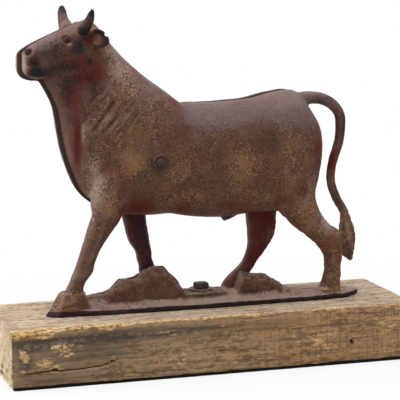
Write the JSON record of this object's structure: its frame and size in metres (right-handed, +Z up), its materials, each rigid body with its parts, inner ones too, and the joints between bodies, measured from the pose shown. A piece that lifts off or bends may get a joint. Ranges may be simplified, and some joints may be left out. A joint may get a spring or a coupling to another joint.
{
  "type": "windmill weight",
  "caption": "Hollow cast-iron bull on a rocky plate, bolted together from halves and fixed to an old timber base; a windmill counterweight kept as an ornament.",
  "frame": {"origin": "centre of the felt's underside", "axes": "+X from the bull's muzzle to its tail along the timber, +Y from its left flank to its right flank, +Z up"},
  "size_m": [0.44, 0.15, 0.3875],
  "materials": {
    "casting": "old iron with worn red paint and rust dust",
    "fastener": "dark aged steel",
    "washer": "dull aged steel",
    "timber": "weathered barn timber",
    "felt": "black felt"
  },
  "bodies": {
    "root": {"left_half": "casting", "right_half": "casting", "body_bolt": "fastener", "body_nut": "fastener", "neck_rivet": "fastener", "base_bolt": "fastener", "base_washer": "washer", "lower_washer": "washer", "lower_nut": "fastener", "timber_base": "timber", "base_felt": "felt"}
  },
  "joints": []
}
